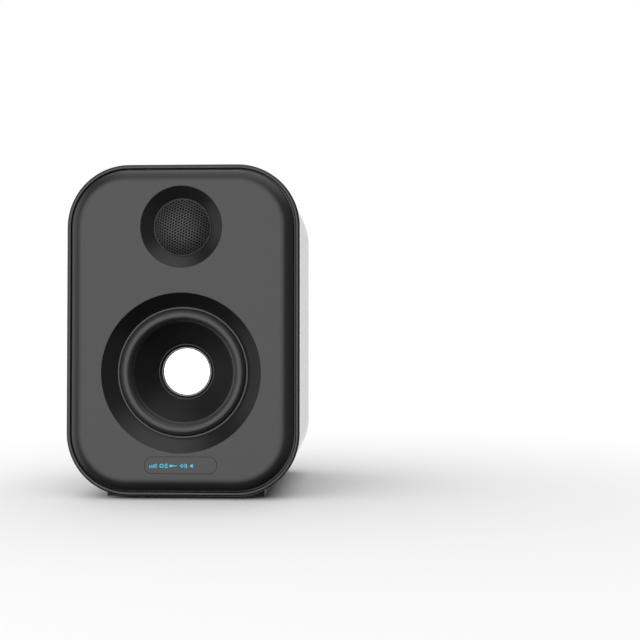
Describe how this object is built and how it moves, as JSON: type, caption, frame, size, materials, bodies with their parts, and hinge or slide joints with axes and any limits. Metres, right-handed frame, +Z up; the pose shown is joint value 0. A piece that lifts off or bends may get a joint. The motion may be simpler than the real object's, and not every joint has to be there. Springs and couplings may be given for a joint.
{
  "type": "bookshelf speaker",
  "caption": "Compact powered two-way bookshelf speaker with a rounded cabinet, woofer and mesh-covered tweeter in deep flares, lit source window, and rear controls and sockets.",
  "frame": {"origin": "middle of the footprint, on the surface the foot strips stand on", "axes": "+Z up; the front faces -Y; +X is to the right seen from the front"},
  "size_m": [0.168, 0.1914, 0.2399],
  "materials": {
    "shell_black": "satin moulded black",
    "satin_black": "satin black moulding",
    "baffle_charcoal": "satin charcoal paint",
    "foot_rubber": "matt rubber",
    "smoked_window": "dead-front smoked plastic",
    "lit_cyan": "lit indicator marks",
    "circuit_board": "solder-masked board",
    "flare_black": "satin black",
    "basket_steel": "black painted pressed steel",
    "surround_rubber": "satin butyl rubber",
    "cone_pulp": "coated black paper pulp",
    "polished_cap": "polished",
    "copper_wire": "enamelled winding",
    "spider_cloth": "resin-dipped cloth",
    "zinc_steel": "zinc plated",
    "ferrite": "raw ferrite",
    "grille_mesh": "dark coated perforated steel",
    "dome_silk": "coated silk",
    "panel_black": "fine textured black",
    "sink_aluminium": "extruded",
    "contact_brass": "plated",
    "knob_black": "satin black",
    "socket_black": "black nylon",
    "lever_red": "red",
    "white_wadding": "polyester wadding",
    "lead_sleeve": "vinyl sleeve",
    "screw_black": "black zinc"
  },
  "bodies": {
    "cabinet": {"cabinet_shell": "shell_black", "front_trim_frame": "satin_black", "front_baffle": "baffle_charcoal", "foot_strip_front": "foot_rubber", "foot_strip_rear": "foot_rubber", "display_window": "smoked_window", "indicator_light_guide": "lit_cyan", "display_board": "circuit_board", "woofer_trim_ring": "flare_black", "woofer_basket": "basket_steel", "woofer_surround": "surround_rubber", "woofer_spider": "spider_cloth", "woofer_top_plate": "zinc_steel", "woofer_magnet": "ferrite", "woofer_pole_plate": "zinc_steel", "woofer_screw_1": "zinc_steel", "woofer_screw_2": "zinc_steel", "woofer_screw_3": "zinc_steel", "woofer_screw_4": "zinc_steel", "tweeter_waveguide": "flare_black", "tweeter_grille": "grille_mesh", "tweeter_faceplate": "satin_black", "tweeter_surround": "dome_silk", "tweeter_magnet": "ferrite", "rear_panel": "panel_black", "rear_panel_screw_1": "screw_black", "rear_panel_screw_2": "screw_black", "rear_panel_screw_3": "screw_black", "rear_panel_screw_4": "screw_black", "reflex_port": "satin_black", "main_board": "circuit_board", "transformer": "zinc_steel", "reservoir_capacitor": "satin_black", "heat_sink": "sink_aluminium", "volume_encoder": "zinc_steel", "treble_pot": "zinc_steel", "bass_pot": "zinc_steel", "switch_housing": "socket_black", "mains_inlet": "socket_black", "digital_socket": "zinc_steel", "data_socket": "zinc_steel", "aux_jack": "socket_black", "optical_socket": "socket_black", "terminal_block": "socket_black", "acoustic_wadding": "white_wadding", "woofer_lead": "lead_sleeve", "tweeter_lead": "lead_sleeve"},
    "woofer_cone_assembly": {"woofer_cone": "cone_pulp", "woofer_dust_cap": "polished_cap", "woofer_voice_coil": "copper_wire"},
    "tweeter_diaphragm": {"tweeter_dome": "dome_silk"},
    "rocker": {"power_rocker": "socket_black"},
    "encoder_plunger": {"volume_plunger": "contact_brass"},
    "volume_control": {"volume_shaft": "zinc_steel", "volume_knob": "knob_black"},
    "treble_control": {"treble_knob": "knob_black"},
    "bass_control": {"bass_knob": "knob_black"},
    "red_clip": {"terminal_lever_red": "lever_red"},
    "black_clip": {"terminal_lever_black": "socket_black"},
    "optical_shutter": {"optical_flap": "socket_black"}
  },
  "joints": [
    {"name": "woofer_stroke", "type": "slide", "parent": "cabinet", "child": "woofer_cone_assembly", "axis": [0, -1, 0], "range_m": [-0.004, 0.004], "stiffness_N_per_m": 900, "deforming": ["woofer_surround", "woofer_spider"]},
    {"name": "tweeter_stroke", "type": "slide", "parent": "cabinet", "child": "tweeter_diaphragm", "axis": [0, -1, 0], "range_m": [-0.0003, 0.0003], "stiffness_N_per_m": 600, "deforming": ["tweeter_surround"]},
    {"name": "power_rock", "type": "hinge", "parent": "cabinet", "child": "rocker", "pos_m": [-0.027, 0.08225, 0.088], "axis": [1, 0, 0], "range_deg": [0, 16]},
    {"name": "volume_push", "type": "slide", "parent": "cabinet", "child": "encoder_plunger", "axis": [0, -1, 0], "range_m": [0, 0.0005], "stiffness_N_per_m": 2000, "springref_m": -0.0005},
    {"name": "volume_turn", "type": "hinge", "parent": "encoder_plunger", "child": "volume_control", "pos_m": [-0.027, 0.08975, 0.145], "axis": [0, 1, 0], "continuous": true},
    {"name": "treble_turn", "type": "hinge", "parent": "cabinet", "child": "treble_control", "pos_m": [0.027, 0.08975, 0.145], "axis": [0, 1, 0], "range_deg": [-145, 145]},
    {"name": "bass_turn", "type": "hinge", "parent": "cabinet", "child": "bass_control", "pos_m": [0.002, 0.08975, 0.145], "axis": [0, 1, 0], "range_deg": [-145, 145]},
    {"name": "red_clip_press", "type": "hinge", "parent": "cabinet", "child": "red_clip", "pos_m": [0.028, 0.08415, 0.077], "axis": [1, 0, 0], "range_deg": [0, 20], "stiffness_Nm_per_rad": 0.02, "springref_deg": -11.46},
    {"name": "black_clip_press", "type": "hinge", "parent": "cabinet", "child": "black_clip", "pos_m": [0.012, 0.08415, 0.077], "axis": [1, 0, 0], "range_deg": [0, 20], "stiffness_Nm_per_rad": 0.02, "springref_deg": -11.46},
    {"name": "optical_flap_swing", "type": "hinge", "parent": "cabinet", "child": "optical_shutter", "pos_m": [0.009, 0.08295, 0.1224], "axis": [-1, 0, 0], "range_deg": [0, 80], "stiffness_Nm_per_rad": 0.0005, "springref_deg": -17.19}
  ]
}
